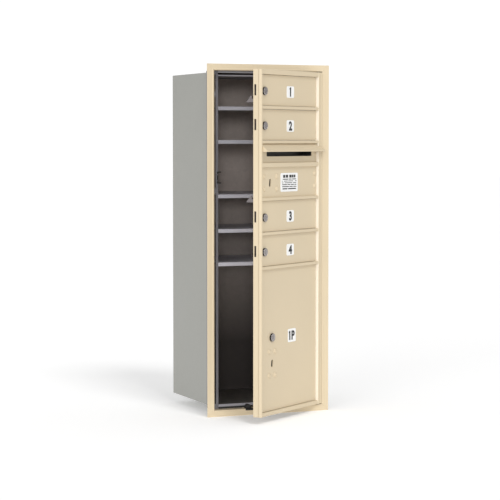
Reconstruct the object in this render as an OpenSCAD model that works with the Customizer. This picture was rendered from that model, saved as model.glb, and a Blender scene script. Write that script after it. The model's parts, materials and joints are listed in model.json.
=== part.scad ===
// Recess-mounted cluster mailbox: a sheet cabinet behind a trim frame, closed by one
// hinged door frame that carries four letter doors, an outgoing mail slot, a fixed
// collection panel and a parcel door. Millimetres, +Z up, +Y into the wall.
// Origin: centre of the underside of the cabinet body.

/* [Cabinet] */
// Overall width of the trim frame
frame_w = 360; // [320:1:440]
// Depth from the trim's front face to the back of the cabinet
cabinet_depth = 321; // [260:1:440]
// Height of one letter compartment row
letter_row = 90.5; // [80:0.5:120]
// Height of the outgoing mail and collection row
mail_row = 150.5; // [140:0.5:190]
// Height of the parcel compartment row
parcel_row = 385.5; // [310:0.5:480]
// Thickness of the cabinet sheet
sheet_t = 1.5; // [1:0.1:2.5]

/* [Trim frame] */
// Face width of the side trims
trim_side = 20; // [16:0.5:30]
// Face width of the top and bottom trims
trim_rail = 17.5; // [14:0.5:26]
// Thickness of the trim flange that lies on the wall
trim_t = 3; // [2:0.5:5]
// Depth of the trim leg that reaches into the recess
trim_leg = 30; // [29:1:40]
// Height of the bead that stands on the trim's inner edge
bead_rise = 0.8; // [0.4:0.1:1.5]
// Distance from the cabinet underside down to the trim's lower edge
trim_drop = 26; // [22:0.5:32]
// Distance from the top row line up to the trim's upper edge
trim_above = 28.5; // [26:0.5:34]

/* [Door frame] */
// Angle by which the door frame stands open
door_ajar = 35; // [0:1:60]
// Depth of the door frame
door_depth = 25; // [24:0.5:25]
// Recess of the door leaves behind the stile faces
leaf_recess = 8; // [7:0.5:9]
// Thickness of a letter or parcel door leaf
leaf_t = 2.5; // [1.5:0.1:2.6]
// Height of the rails between the doors
rail_h = 8.5; // [7.8:0.1:14]
// Height of the rail between the mail slot and the collection panel
split_rail_h = 12; // [8:0.5:14]
// Face width of the stile on the lock side
lock_stile_face = 6.6; // [6:0.1:9]
// Face width of the stile on the hinge side
hinge_stile_face = 14; // [10:0.5:18]
// Clearance between a leaf and the frame round it
leaf_gap = 0.8; // [0.5:0.1:1.5]

/* [Locks] */
// Radius of a cam lock's head
lock_head_r = 11; // [10:0.5:12]
// Distance of a letter lock from the lock-side edge of the door frame
lock_inset = 28; // [26:0.5:36]
// Length of a letter lock's cam from its axis
cam_reach = 25.5; // [24:0.1:25.6]
// Travel of the latch bar
latch_travel = 8; // [6:0.5:9]
// Travel of the master lock's bolt
bolt_travel = 16; // [10:0.5:18]

/* [Mail slot] */
// Width of the outgoing mail slot
slot_w = 237; // [180:1:250]
// Height of the outgoing mail slot
slot_h = 23; // [16:0.5:26]
// Reach of the hood in front of the trim's face
hood_reach = 14; // [8:0.5:15]

/* [Mounting] */
// Radius of an anchor hole in the back panel
anchor_r = 4; // [3:0.25:6]
// Horizontal distance between the anchor holes
anchor_x = 200; // [120:1:240]

/* [Hidden] */
$fn = 48;

// ---- rows, from the parcel compartment up ----
row_lines = [
    parcel_row,
    parcel_row + letter_row,
    parcel_row + 2 * letter_row,
    parcel_row + 2 * letter_row + mail_row,
    parcel_row + 3 * letter_row + mail_row];
rows_top = parcel_row + 4 * letter_row + mail_row;
rail_half = rail_h / 2;
// letter doors 1 to 4 are numbered from the top, and each names the line below it
letter_floor = [row_lines[4], row_lines[3], row_lines[1], row_lines[0]];

// ---- trim and opening ----
frame_x = frame_w / 2;
frame_bottom = -trim_drop;
frame_top = rows_top + trim_above;
open_x = frame_x - trim_side;
open_bottom = frame_bottom + trim_rail;
open_top = frame_top - trim_rail;
leg_t = 2;
bead_r = 3;

// ---- cabinet body ----
jamb_y = door_depth + 1;
jamb_t = 2;
jamb_back = jamb_y + jamb_t;
jamb_flange = 22;
jamb_leg = 32;
// the left jamb: its strip along the cabinet's mouth, and the bridges that carry it
strip_w = 7;
bridge_h = 14;
// hairline between flat pieces that are made one by one
seam = 0.05;
inner_x = open_x - jamb_flange;
body_x = open_x - jamb_t;
body_top = rows_top + 6.5;
mid_y = (jamb_y + cabinet_depth) / 2;
lip_half = 5;
ceiling_lip = 4;
rear_flange = 12;
shelf_notch = 62;
mail_shelf_rise = 3.5;
sheet_back = cabinet_depth - sheet_t;
anchor_z = [120, rows_top - 62];

// ---- door frame ----
edge_gap = 2;
stile_l = -open_x + edge_gap;
stile_r = open_x - 4;
door_bottom = open_bottom + edge_gap;
door_top = open_top - edge_gap;
wall_t = 2;
corner_back = 9;
edge_plate_y = 9.8;
lip_l = stile_l + lock_stile_face;
lip_r = stile_r - hinge_stile_face;
leaf_back = leaf_recess + leaf_t;
stop_y = 11;
stop_t = 2;
stop_l = stile_l + 12.5;
rail_front = 1;
rail_back = 14;
right_stop_y = 15;
right_stop_reach = 6;
edge_r = 3;
panel_l = lip_l + leaf_gap;
panel_r = lip_r - leaf_gap;

// ---- door frame hinge ----
hinge_x = open_x - 2.5;
hinge_y = 1;
barrel_r = 2.2;
rod_r = 1.1;
running = 0.05;
leaf_plate = 1.2;
knuckle_count = 24;
knuckle_gap = 0.3;

// ---- leaf hinges ----
knuckle_r = 3;
pin_r = 1.5;
pivot_x = panel_r - knuckle_r;
pivot_y = leaf_recess + knuckle_r;
pin_grip = 3.5;

// ---- cam locks ----
lock_x = stile_l + lock_inset;
lock_drop = 2.5;
head_h = 5;
barrel_lock_r = 9.5;
lock_back = 17.5;
plug_r = 5.5;
cam_y = 18.2;
cam_t = 1.8;
cam_w = 12;
cam_slot_h = 29;
cam_slot_y = [16, 22];

// ---- master lock, its bolt and the latch bar ----
panel_t = stop_y - leaf_recess;
split_z = row_lines[2] + 90;
master_x = stile_l + 59;
master_z = row_lines[2] + 43;
master_bolts = [31.5, 16.5];
hinge_bolt_x = lip_r - 10;
hinge_bolt_z = [master_z - 12.5, master_z + 21];
bolt_z = master_z + 11.5;
bolt_y = [29, 33];
bolt_h = 16;
bolt_tip = master_x - 29.5;
bolt_len = 34;
bolt_play = 0.4;
case_plate_t = 2;
arrow_r = 11;
latch_y = [21, 23.2];
latch_x = [stile_l + 3, stile_l + 12];
hook_x = [stile_l + 8, stile_l + 11];
hook_base = [row_lines[2] - 7.7, row_lines[4] + 13.3];
hook_neck = 9.2;
hook_peak = 17;
hook_tip_y = 51;
stud_x = stile_l + 7.5;
stud_z = [row_lines[2] + 18.5, row_lines[2] + 113.5, row_lines[4] - 17.5];
stud_r = 2;

// ---- mail slot and hood ----
slot_z = split_z + split_rail_h / 2 + 16.5;
slot_x = (lip_l + lip_r) / 2 + 4.7;
hood_top = row_lines[3] - rail_half;
hood_edge = 18.5;
hood_lip = 3;
hood_t = 1.8;
hood_flare = [0.6, 13.4];
hood_wing = 11.5;
wing_gap = 1.2;

// ---- parcel door ----
parcel_lock = [stile_l + 66, 199.5];
parcel_arrow = [stile_l + 68, 130];
parcel_bolt = [14.5, 32];
lock_bar_y = [13.6, 16.6];
lock_bar_half = 8;

paint = "#dccaa8";
body_grey = "#a6a6a0";
zinc = "#9c9ca4";
nickel = "#b8b2aa";
black = "#202020";
plate_white = "#eeeeee";

// ================= placing =================

// Shapes are drawn with y = 0 at the trim's front face.
module in_wall() {
    translate([0, -mid_y, 0]) children();
}

// Carries a shape drawn on the closed door frame out to where the frame stands.
module on_door() {
    in_wall()
    translate([hinge_x, hinge_y, 0])
    rotate([0, 0, door_ajar])
    translate([-hinge_x, -hinge_y, 0])
    children();
}

// The span that reaches `h` to each side of `c`.
function about(c, h) = [c - h, c + h];

module box(x, y, z) {
    translate([x[0], y[0], z[0]])
    cube([x[1] - x[0], y[1] - y[0], z[1] - z[0]]);
}

module rod_y(x, z, y, r) {
    translate([x, y[0], z]) rotate([-90, 0, 0]) cylinder(h = y[1] - y[0], r = r);
}

module rod_z(x, y, z, r) {
    translate([x, y, z[0]]) cylinder(h = z[1] - z[0], r = r);
}

// Extrudes an outline drawn in x and y up from z[0] to z[1].
module along_z(z) {
    translate([0, 0, z[0]]) linear_extrude(height = z[1] - z[0]) children();
}

// Extrudes an outline drawn in y and z from x[0] to x[1].
module along_x(x) {
    translate([x[0], 0, 0])
    rotate([90, 0, 90])
    linear_extrude(height = x[1] - x[0])
    children();
}

// Extrudes an outline drawn in x and z from y[0] to y[1].
module along_y(y) {
    translate([0, y[1], 0]) rotate([90, 0, 0]) linear_extrude(height = y[1] - y[0]) children();
}

module rect(x, y) {
    translate([x[0], y[0]]) square([x[1] - x[0], y[1] - y[0]]);
}

// A rectangle in x and z with round corners.
module round_rect(w, h, r) {
    square([w - 2 * r, h], center = true);
    square([w, h - 2 * r], center = true);
    for (sx = [-1, 1], sz = [-1, 1])
        translate([sx * (w / 2 - r), sz * (h / 2 - r)]) circle(r);
}

// ================= trim frame =================

// Across the trim from its outer edge, and into the wall.
module trim_profile(w) {
    square([w, trim_t]);
    translate([w - leg_t, 0]) square([leg_t, trim_leg]);
    intersection() {
        translate([w - bead_r, bead_r - bead_rise]) circle(bead_r);
        translate([w - 2 * bead_r, -bead_rise]) square([2 * bead_r, trim_t]);
    }
}

module side_trim_shape() {
    intersection() {
        along_z([frame_bottom, frame_top]) translate([-frame_x, 0]) trim_profile(trim_side);
        along_y([-bead_r, trim_leg])
        polygon([
            [-frame_x, frame_bottom],
            [-open_x, open_bottom],
            [-open_x, open_top],
            [-frame_x, frame_top]]);
    }
}

module rail_trim_shape() {
    intersection() {
        translate([0, 0, frame_bottom])
        along_x([-frame_x, frame_x])
        mirror([1, -1, 0])
        trim_profile(trim_rail);
        along_y([-bead_r, trim_leg])
        polygon([
            [-frame_x, frame_bottom],
            [frame_x, frame_bottom],
            [open_x, open_bottom],
            [-open_x, open_bottom]]);
    }
}

module trim_left() {
    color(paint) in_wall() side_trim_shape();
}

module trim_right() {
    color(paint) in_wall() mirror([1, 0, 0]) side_trim_shape();
}

module trim_top() {
    color(paint)
    in_wall()
    translate([0, 0, frame_top + frame_bottom])
    mirror([0, 0, 1])
    rail_trim_shape();
}

// The sill catch sits in a notch in this trim's upper edge.
catch_x = [-69, -41];
catch_z = open_bottom - 5;
catch_back = 24;

module trim_bottom() {
    color(paint)
    in_wall()
    difference() {
        rail_trim_shape();
        box(catch_x, [-bead_r, catch_back], [catch_z, open_bottom + 1]);
    }
}

// ================= cabinet =================

// A leg along the recess and a strip along the cabinet's mouth. The bridges between
// them are the catches that the latch hooks drop behind.
module jamb_left() {
    strip_x = [-inner_x - strip_w, -inner_x];
    bridge_x = [-body_x + seam, strip_x[0] - seam];
    window_top = hook_neck + latch_travel + 0.7;
    bridges = concat(
        [[open_bottom, 6], [body_top - 6, open_top]],
        [for (z = hook_base) [z + window_top, z + window_top + bridge_h]]);
    color(zinc)
    in_wall() {
        box([-open_x, -body_x], [jamb_y, jamb_y + jamb_leg], [open_bottom, open_top]);
        box(strip_x, [jamb_y, jamb_back], [open_bottom, open_top]);
        for (z = bridges) box(bridge_x, [jamb_y, jamb_back], z);
    }
}

module jamb_right() {
    color(zinc)
    in_wall() {
        box([inner_x, open_x], [jamb_y, jamb_back], [open_bottom, open_top]);
        box([body_x, open_x], [jamb_y, jamb_y + jamb_leg], [open_bottom, open_top]);
    }
}

module side_panel_shape() {
    box([-body_x, -body_x + sheet_t], [jamb_back, sheet_back], [0, body_top]);
    box([-body_x, -body_x + rear_flange], [sheet_back - sheet_t, sheet_back], [0, body_top]);
}

module side_panel_left() {
    color(body_grey) in_wall() side_panel_shape();
}

module side_panel_right() {
    color(body_grey) in_wall() mirror([1, 0, 0]) side_panel_shape();
}

panel_x = [-body_x + sheet_t, body_x - sheet_t];
panel_back = sheet_back - sheet_t;

// A pan between the side panels, and in front of it a channel that clears the latch
// hooks: the channel's lip stands across the cabinet's mouth.
module deck(z, lip) {
    box([-inner_x, inner_x], [jamb_y, jamb_back], lip);
    box([-inner_x, inner_x], [jamb_y + 1, shelf_notch], z);
    box(panel_x, [shelf_notch + seam, panel_back], z);
}

module top_panel() {
    color(body_grey)
    in_wall() {
        box(panel_x, [jamb_back, panel_back], [body_top - sheet_t, body_top]);
        box([-inner_x, inner_x], [jamb_y, jamb_back + 1], [body_top - sheet_t, body_top]);
        box([-inner_x, inner_x], [jamb_y, jamb_back], [body_top - sheet_t, open_top]);
    }
}

module bottom_panel() {
    color(body_grey)
    in_wall() {
        box(panel_x, [jamb_back, panel_back], [0, sheet_t]);
        box([-inner_x, inner_x], [jamb_y, jamb_back + 1], [0, sheet_t]);
        box([-inner_x, inner_x], [jamb_y, jamb_back], [open_bottom, 3.7]);
    }
}

module back_panel() {
    color(body_grey)
    in_wall()
    difference() {
        box([-body_x, body_x], [sheet_back, cabinet_depth], [0, body_top]);
        for (sx = [-1, 1], z = anchor_z)
            rod_y(sx * anchor_x / 2, z, [sheet_back - 1, cabinet_depth + 1], anchor_r);
    }
}

// Five shelves with a front lip, and the ceiling sheet with a lip turned down.
module shelves() {
    color(zinc)
    in_wall() {
        for (line = row_lines) {
            z = line + (line == row_lines[2] ? mail_shelf_rise : 0);
            deck([z + lip_half - sheet_t, z + lip_half], about(z, lip_half));
        }
        deck([rows_top - sheet_t, rows_top], [rows_top - ceiling_lip, rows_top]);
    }
}

module rivet(r = 3) {
    rotate_extrude() intersection() {
        translate([0, -2.2]) circle(3.7);
        square([r, 1.5]);
    }
}

module rivets() {
    jamb_rivet_y = jamb_y + 24;
    edge = 6;
    step = (body_top - 60) / 5;
    color(zinc)
    in_wall()
    for (i = [0:5], sx = [-1, 1]) {
        translate([sx * open_x, jamb_rivet_y, 30 + i * step]) rotate([0, sx * 90, 0]) rivet();
        translate([sx * (body_x - edge), cabinet_depth, 30 + i * step])
        rotate([-90, 0, 0])
        rivet();
    }
}

// Flat C-shaped plate on the jamb that frames the master lock's bolt.
module strike_plate() {
    x = [-inner_x - 4, -inner_x + 8];
    z = [bolt_z - 16, bolt_z + 16];
    color(black)
    in_wall()
    difference() {
        box(x, [jamb_y - sheet_t, jamb_y], z);
        box([-inner_x, x[1] + 1], [jamb_y - sheet_t - 1, jamb_y + 1], [z[0] + 3, z[1] - 3]);
    }
}

// Half-round guide that centres the closed door frame's foot rail.
module sill_catch() {
    knob_r = 7.5;
    knob_x = catch_x[0] + 13;
    knob_z = open_bottom + 3;
    knob_y = [10, 22];
    color(black)
    in_wall() {
        box(catch_x, [rail_front, catch_back], [catch_z, open_bottom - 1]);
        box([knob_x - knob_r, knob_x + knob_r], knob_y, [open_bottom - 1, knob_z]);
        rod_y(knob_x, knob_z, knob_y, knob_r);
    }
}

// ================= door frame hinge =================

knuckle_pitch = (door_top - door_bottom) / knuckle_count;

// Leaf number `turn` of the continuous hinge takes every second knuckle.
module hinge_leaf_shape(x, turn) {
    difference() {
        union() {
            box(x, [3.8, 24], [door_bottom, door_top]);
            for (i = [turn:2:knuckle_count - 1]) {
                z = door_bottom + i * knuckle_pitch;
                span = [z + knuckle_gap / 2, z + knuckle_pitch - knuckle_gap / 2];
                box(x, [2.2, 3.9], span);
                rod_z(hinge_x, hinge_y, span, barrel_r);
            }
        }
        rod_z(hinge_x, hinge_y, [door_bottom - 1, door_top + 1], rod_r + running);
    }
}

module frame_hinge_leaf() {
    color(paint) in_wall() hinge_leaf_shape([open_x - leaf_plate, open_x], 0);
}

module door_hinge_leaf() {
    color(paint) on_door() hinge_leaf_shape([stile_r, stile_r + leaf_plate], 1);
}

module hinge_rod() {
    color(zinc) in_wall() rod_z(hinge_x, hinge_y, [door_bottom, door_top], rod_r);
}

// ================= door frame =================

// Front of the stile, with the lip and the flange that the door leaves close against.
module lock_stile() {
    color(paint)
    on_door()
    along_z([door_bottom, door_top]) {
        rect([stile_l, stile_l + wall_t], [edge_r, corner_back]);
        rect([stile_l + edge_r, lip_l], [0, wall_t]);
        intersection() {
            translate([stile_l + edge_r, edge_r]) circle(edge_r);
            rect([stile_l, stile_l + edge_r], [0, edge_r]);
        }
        rect([lip_l - wall_t, lip_l], [0, stop_y + stop_t]);
        rect([stile_l + wall_t, stop_l], [stop_y, stop_y + stop_t]);
    }
}

// Flat plate behind the stile's corner, with a slot level with each letter lock.
module lock_edge_plate() {
    color(paint)
    on_door()
    difference() {
        box([stile_l, stile_l + wall_t], [edge_plate_y, door_depth], [door_bottom, door_top]);
        for (z = letter_floor)
            box([stile_l - 1, stile_l + wall_t + 1], cam_slot_y,
                about(z + letter_row / 2, cam_slot_h / 2));
    }
}

module hinge_stile() {
    corner_r = 2;
    color(paint)
    on_door()
    difference() {
        along_z([door_bottom, door_top]) {
            rect([lip_r + corner_r, stile_r], [0, wall_t]);
            rect([lip_r, lip_r + wall_t], [corner_r, right_stop_y + stop_t]);
            intersection() {
                translate([lip_r + corner_r, corner_r]) circle(corner_r);
                rect([lip_r, lip_r + corner_r], [0, corner_r]);
            }
            rect([stile_r - wall_t, stile_r], [0, door_depth]);
            rect([lip_r - right_stop_reach, stile_r], [right_stop_y, right_stop_y + stop_t]);
        }
        rod_z(hinge_x, hinge_y, [door_bottom - 1, door_top + 1], barrel_r + 0.4);
    }
}

// A horizontal rail between the stiles, its front edges rounded.
module rail(z) {
    r = 2;
    along_x([lip_l, lip_r]) {
        rect([rail_front + r, leaf_back], z);
        rect([rail_front, rail_front + r], [z[0] + r, z[1] - r]);
        for (c = [z[0] + r, z[1] - r]) translate([rail_front + r, c]) circle(r);
    }
    box([stop_l, lip_r], [leaf_back - 1, rail_back], z);
}

module pin_holes() {
    for (z = pin_spans) rod_z(pivot_x, pivot_y, z, pin_r);
}

module head_rail() {
    color(paint)
    on_door()
    difference() {
        rail([rows_top - rail_half, door_top]);
        pin_holes();
    }
}

module foot_rail() {
    color(paint)
    on_door()
    difference() {
        rail([door_bottom, rail_half]);
        pin_holes();
        // room for the sill catch
        box([catch_x[0] - 3, catch_x[1] + 5], [9, rail_back + 1], [door_bottom - 1, 3.1]);
    }
}

module cross_rails() {
    color(paint)
    on_door()
    difference() {
        union() {
            for (z = row_lines) rail([z - rail_half, z + rail_half]);
            rail([split_z - split_rail_h / 2, split_z + split_rail_h / 2]);
        }
        pin_holes();
    }
}

// Clear height of each leaf, between the rails above and below it.
leaf_spans = concat(
    [for (z = letter_floor) [z + rail_half + leaf_gap, z + letter_row - rail_half - leaf_gap]],
    [[rail_half + leaf_gap, parcel_row - rail_half - leaf_gap]]);
pin_spans = [for (s = leaf_spans) [s[0] - leaf_gap - pin_grip, s[1] + leaf_gap + pin_grip]];

// One pin through each leaf's rolled edge, held in the rails.
module leaf_pins() {
    color(zinc) on_door() for (z = pin_spans) rod_z(pivot_x, pivot_y, z, pin_r);
}

// ================= fixed mail panels =================

module fixed_panel(z) {
    box([panel_l, panel_r], [leaf_recess, stop_y], z);
}

module outgoing_panel() {
    color(paint)
    on_door()
    difference() {
        fixed_panel([split_z + split_rail_h / 2, hood_top]);
        translate([slot_x, 0, slot_z + slot_h / 2])
        along_y([leaf_recess - 1, stop_y + 1])
        round_rect(slot_w, slot_h, 3);
    }
}

// Plan of the hood, drawn in by `t` for its hollow. Its right end is a wing that
// stands out over the hinge stile's face.
module hood_plan(t) {
    front = -hood_reach + t;
    wing_back = -wing_gap - t;
    polygon([
        [panel_l + t, leaf_recess + 1],
        [panel_l + t, 0],
        [panel_l + t - hood_flare[0], front],
        [panel_r - t + hood_flare[1], front],
        [panel_r - t + hood_wing, wing_back],
        [panel_r - t, wing_back],
        [panel_r - t, leaf_recess + 1]]);
}

// Side outline of the hood, drawn in by `t` below its sloping top.
module hood_side(t) {
    drop = t * 1.4;
    polygon([
        [leaf_recess, hood_top - drop],
        [-hood_reach, hood_top - hood_edge - drop],
        [-hood_reach, hood_top - hood_edge - hood_lip - t],
        [leaf_recess, hood_top - hood_edge - hood_lip - t]]);
}

module hood_solid(t) {
    intersection() {
        along_x([stile_l, stile_r]) hood_side(t);
        along_z([hood_top - 40, hood_top + 1]) hood_plan(t);
    }
}

module hood() {
    color(paint)
    on_door()
    difference() {
        hood_solid(0);
        hood_solid(hood_t);
    }
}

// Sheet box behind the slot that stops mail from being fished out.
module slot_baffle() {
    x = [slot_x - slot_w / 2 - 6, slot_x + slot_w / 2 + 6];
    y = [stop_y, 39.5];
    z = [slot_z - 11, slot_z + slot_h + 3];
    color(black)
    on_door() {
        box(x, y, [z[1], z[1] + sheet_t]);
        box(x, [y[1] - sheet_t, y[1]], [z[0], z[1] + sheet_t]);
        for (side = [x[0], x[1] - sheet_t])
            box([side, side + sheet_t], y, [z[0], z[1] + sheet_t]);
    }
}

// Leaning slot with round ends, for a flat key, at the origin of x and z.
module keyhole(h) {
    end_r = 4.6;
    rotate(-7) {
        square([2 * end_r, h - 2 * end_r], center = true);
        for (end = [-1, 1]) translate([0, end * (h / 2 - end_r)]) circle(end_r);
    }
}

master_bolt_points = [
    for (sx = [-1, 1], sz = [-1, 1])
        [master_x + sx * master_bolts[0], master_z + sz * master_bolts[1]]];
hinge_bolt_points = [for (z = hinge_bolt_z) [hinge_bolt_x, z]];
panel_bolt_points = concat(master_bolt_points, hinge_bolt_points);
bolt_r = 3;
bolt_hole_r = 3.2;

module collection_panel() {
    color(paint)
    on_door()
    difference() {
        fixed_panel([row_lines[2] + rail_half, split_z - split_rail_h / 2]);
        for (p = panel_bolt_points)
            rod_y(p[0], p[1], [leaf_recess - 1, stop_y + 1], bolt_hole_r);
        translate([master_x - 2, 0, master_z])
        along_y([leaf_recess - 1, stop_y + 1])
        keyhole(22);
    }
}

// Carriage bolt: domed head in front of `y`, shank, and a nut that bears on `seat`.
module carriage_bolt(p, y, seat) {
    nut_h = 3;
    nut_r = 5;
    dome_r = 7;
    dome_h = 4.2;
    ball = (dome_r * dome_r + dome_h * dome_h) / (2 * dome_h);
    translate([p[0], y, p[1]])
    rotate([90, 0, 0])
    rotate_extrude()
    intersection() {
        translate([0, dome_h - ball]) circle(ball);
        square([dome_r, dome_h]);
    }
    rod_y(p[0], p[1], [y - 0.5, seat + nut_h + 1], bolt_r);
    rod_y(p[0], p[1], [seat, seat + nut_h], nut_r);
}

module panel_bolts() {
    color(paint)
    on_door() {
        for (p = master_bolt_points) carriage_bolt(p, leaf_recess, stop_y + case_plate_t);
        for (p = hinge_bolt_points) carriage_bolt(p, leaf_recess, stop_y);
    }
}

module notice_plate() {
    color(plate_white)
    on_door()
    translate([(lip_l + lip_r) / 2 + 1, 0, master_z])
    along_y([leaf_recess - 0.8, leaf_recess])
    round_rect(90, 50, 4);
}

// ================= master lock and latch =================

module latch_studs() {
    color(zinc)
    on_door()
    for (z = stud_z) {
        rod_y(stud_x, z, [stop_y + stop_t, latch_y[1] + 1], stud_r);
        rod_y(stud_x, z, [latch_y[1] + 0.3, latch_y[1] + 1.5], 4);
    }
}

// Flat bar with two barbed hooks that reach back through the jamb.
module latch_bar() {
    end = 6;
    color(zinc)
    on_door()
    difference() {
        union() {
            box(latch_x, latch_y, [hook_base[0] - end, hook_base[1] + hook_peak + end]);
            for (z = hook_base)
                translate([0, 0, z])
                along_x(hook_x)
                polygon([
                    [latch_y[0], 0],
                    [hook_tip_y, 0],
                    [hook_tip_y, 1.5],
                    [38, hook_peak],
                    [34.5, hook_peak],
                    [34.5, hook_neck],
                    [latch_y[0], hook_neck]]);
        }
        for (z = stud_z)
            for (rise = [0, -latch_travel])
                rod_y(stud_x, z + rise, [latch_y[0] - 1, latch_y[1] + 1], stud_r + 0.3);
        for (z = stud_z)
            box(about(stud_x, stud_r + 0.3), latch_y + [-1, 1], [z - latch_travel, z]);
    }
}

// The pocket is open on the lock side, where the bolt comes out.
module arrow_case() {
    case_x = about(master_x, 23);
    case_z = [master_z - 23.5, bolt_z + 12];
    plate_x = about(master_x, master_bolts[0] + 7);
    plate_z = about(master_z, master_bolts[1] + 7);
    pocket_x = [case_x[0] - 1, bolt_tip + bolt_len + bolt_play];
    color(zinc)
    on_door()
    difference() {
        union() {
            box(case_x, [stop_y, bolt_y[1] + 1.4], case_z);
            box(plate_x, [stop_y, stop_y + case_plate_t], plate_z);
        }
        for (p = master_bolt_points)
            rod_y(p[0], p[1], [stop_y - 1, stop_y + case_plate_t + 1], bolt_hole_r);
        rod_y(master_x, master_z, [stop_y - 1, bolt_y[0]], arrow_r + running);
        box(pocket_x, bolt_y + [-bolt_play, bolt_play], about(bolt_z, bolt_h / 2 + bolt_play));
    }
}

// Turning core of a flat-key lock, its keyway opening to the front.
module arrow_core(x, z, y) {
    difference() {
        rod_y(x, z, y, arrow_r);
        box(about(x, 1.5), [y[0] - 1, y[0] + 9], about(z, 7));
    }
}

module arrow_plug() {
    color(nickel) on_door() arrow_core(master_x, master_z, [stop_y + 0.4, bolt_y[0] - 1.2]);
}

module arrow_bolt() {
    color(zinc)
    on_door()
    box([bolt_tip, bolt_tip + bolt_len], bolt_y, about(bolt_z, bolt_h / 2));
}

// ================= letter and parcel doors =================

function letter_mid(n) = letter_floor[n - 1] + letter_row / 2;
function letter_lock_z(n) = letter_mid(n) - lock_drop;

// Sheet leaf with turned-back top and bottom edges and a rolled hinge edge.
module leaf(span) {
    hem_x = [stop_l + 2.5, pivot_x - 4];
    difference() {
        union() {
            box([panel_l, pivot_x], [leaf_recess, leaf_back], span);
            for (z = [span[0], span[1] - leaf_t])
                box(hem_x, [leaf_back - 1, leaf_back + 2.5], [z, z + leaf_t]);
            rod_z(pivot_x, pivot_y, span, knuckle_r);
        }
        rod_z(pivot_x, pivot_y, span + [-1, 1], pin_r + running);
    }
}

module letter_door(n) {
    color(paint)
    on_door()
    difference() {
        leaf(leaf_spans[n - 1]);
        rod_y(lock_x, letter_lock_z(n), [leaf_recess - 1, leaf_back + 1], barrel_lock_r + 0.1);
    }
}

module number_plate(n) {
    color(plate_white)
    on_door()
    translate([(lip_l + lip_r) / 2 + 6.7, 0, letter_lock_z(n)])
    along_y([leaf_recess - 1, leaf_recess])
    round_rect(38, 31, 5);
}

// Head, threaded barrel and ring nut of a cam lock, bored for its plug.
module cam_lock(x, z) {
    difference() {
        union() {
            translate([x, leaf_recess, z])
            rotate([90, 0, 0])
            rotate_extrude()
            polygon([
                [0, 0],
                [lock_head_r, 0],
                [lock_head_r, head_h - 1.5],
                [lock_head_r - 1.5, head_h],
                [0, head_h]]);
            rod_y(x, z, [leaf_recess - 0.5, lock_back], barrel_lock_r);
            rod_y(x, z, [leaf_back, leaf_back + 3.5], 12.5);
        }
        rod_y(x, z, [0, lock_back + 1], plug_r + running);
    }
}

// Plug with its key slot, the cam that hangs down when unlocked, and the cam's nut.
module plug_and_cam(x, z, reach) {
    face = leaf_recess - head_h - 0.4;
    tip = reach - cam_w / 2;
    difference() {
        rod_y(x, z, [face, cam_y + 0.5], plug_r);
        box(about(x, 0.7), [face - 1, face + 6], about(z, 3.6));
    }
    rod_y(x, z, [cam_y, cam_y + cam_t], 8);
    box(about(x, cam_w / 2), [cam_y, cam_y + cam_t], [z - tip, z]);
    rod_y(x, z - tip, [cam_y, cam_y + cam_t], cam_w / 2);
    translate([x, cam_y + 1, z]) rotate([-90, 0, 0]) cylinder(h = cam_t + 1.5, r = 4.5, $fn = 6);
}

module letter_lock(n) {
    color(nickel) on_door() cam_lock(lock_x, letter_lock_z(n));
}

module lock_cam(n) {
    color(nickel) on_door() plug_and_cam(lock_x, letter_lock_z(n), cam_reach);
}

parcel_bolt_points = [
    for (sx = [-1, 1], sz = [-1, 1])
        [parcel_arrow[0] + sx * parcel_bolt[0], parcel_arrow[1] + sz * parcel_bolt[1]]];
guide_x = [stop_l + 10, stop_l + 24];
bar_room = lock_bar_half + 0.3;

module parcel_door() {
    color(paint)
    on_door()
    difference() {
        union() {
            leaf(leaf_spans[4]);
            // guide that the lock bar slides in
            box(guide_x, [leaf_back - 1, cam_y - 0.3], about(parcel_lock[1], bar_room + 2));
        }
        box(guide_x + [-1, 1], lock_bar_y + [-0.3, 0.3], about(parcel_lock[1], bar_room));
        rod_y(parcel_lock[0], parcel_lock[1], [leaf_recess - 1, leaf_back + 1], barrel_lock_r + 0.1);
        for (p = parcel_bolt_points)
            rod_y(p[0], p[1], [leaf_recess - 1, leaf_back + 1], bolt_hole_r);
        translate([parcel_arrow[0], 0, parcel_arrow[1]])
        along_y([leaf_recess - 1, leaf_back + 1])
        keyhole(20);
    }
}

module parcel_plate() {
    color(plate_white)
    on_door()
    translate([(lip_l + lip_r) / 2 + 15.7, 0, parcel_lock[1] - 3])
    along_y([leaf_recess - 1, leaf_recess])
    round_rect(41, 36, 4);
}

module parcel_lock_body() {
    color(nickel) on_door() cam_lock(parcel_lock[0], parcel_lock[1]);
}

module parcel_lock_cam() {
    color(nickel) on_door() plug_and_cam(parcel_lock[0], parcel_lock[1], cam_reach - 2);
}

module parcel_lock_bar() {
    x = [stop_l + 2, parcel_lock[0] - 14];
    color(zinc)
    on_door()
    box(x, lock_bar_y, about(parcel_lock[1], lock_bar_half));
}

module parcel_arrow_case() {
    x = parcel_arrow[0];
    z = parcel_arrow[1];
    back = 28;
    color(zinc)
    on_door()
    difference() {
        union() {
            box(about(x, 16), [leaf_back, back], about(z, 20));
            box(about(x, parcel_bolt[0] + 7), [leaf_back, leaf_back + case_plate_t],
                about(z, parcel_bolt[1] + 7));
        }
        for (p = parcel_bolt_points)
            rod_y(p[0], p[1], [leaf_back - 1, leaf_back + case_plate_t + 1], bolt_hole_r);
        rod_y(x, z, [leaf_back - 1, back + 1], arrow_r + running);
    }
}

module parcel_arrow_plug() {
    x = parcel_arrow[0];
    z = parcel_arrow[1];
    back = 28.4;
    color(nickel)
    on_door() {
        arrow_core(x, z, [leaf_back + 0.4, back + 0.5]);
        rod_y(x, z, [back, back + 2], 11);
        box(about(x, 6), [back, back + 2], [z - 26, z]);
    }
}

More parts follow.
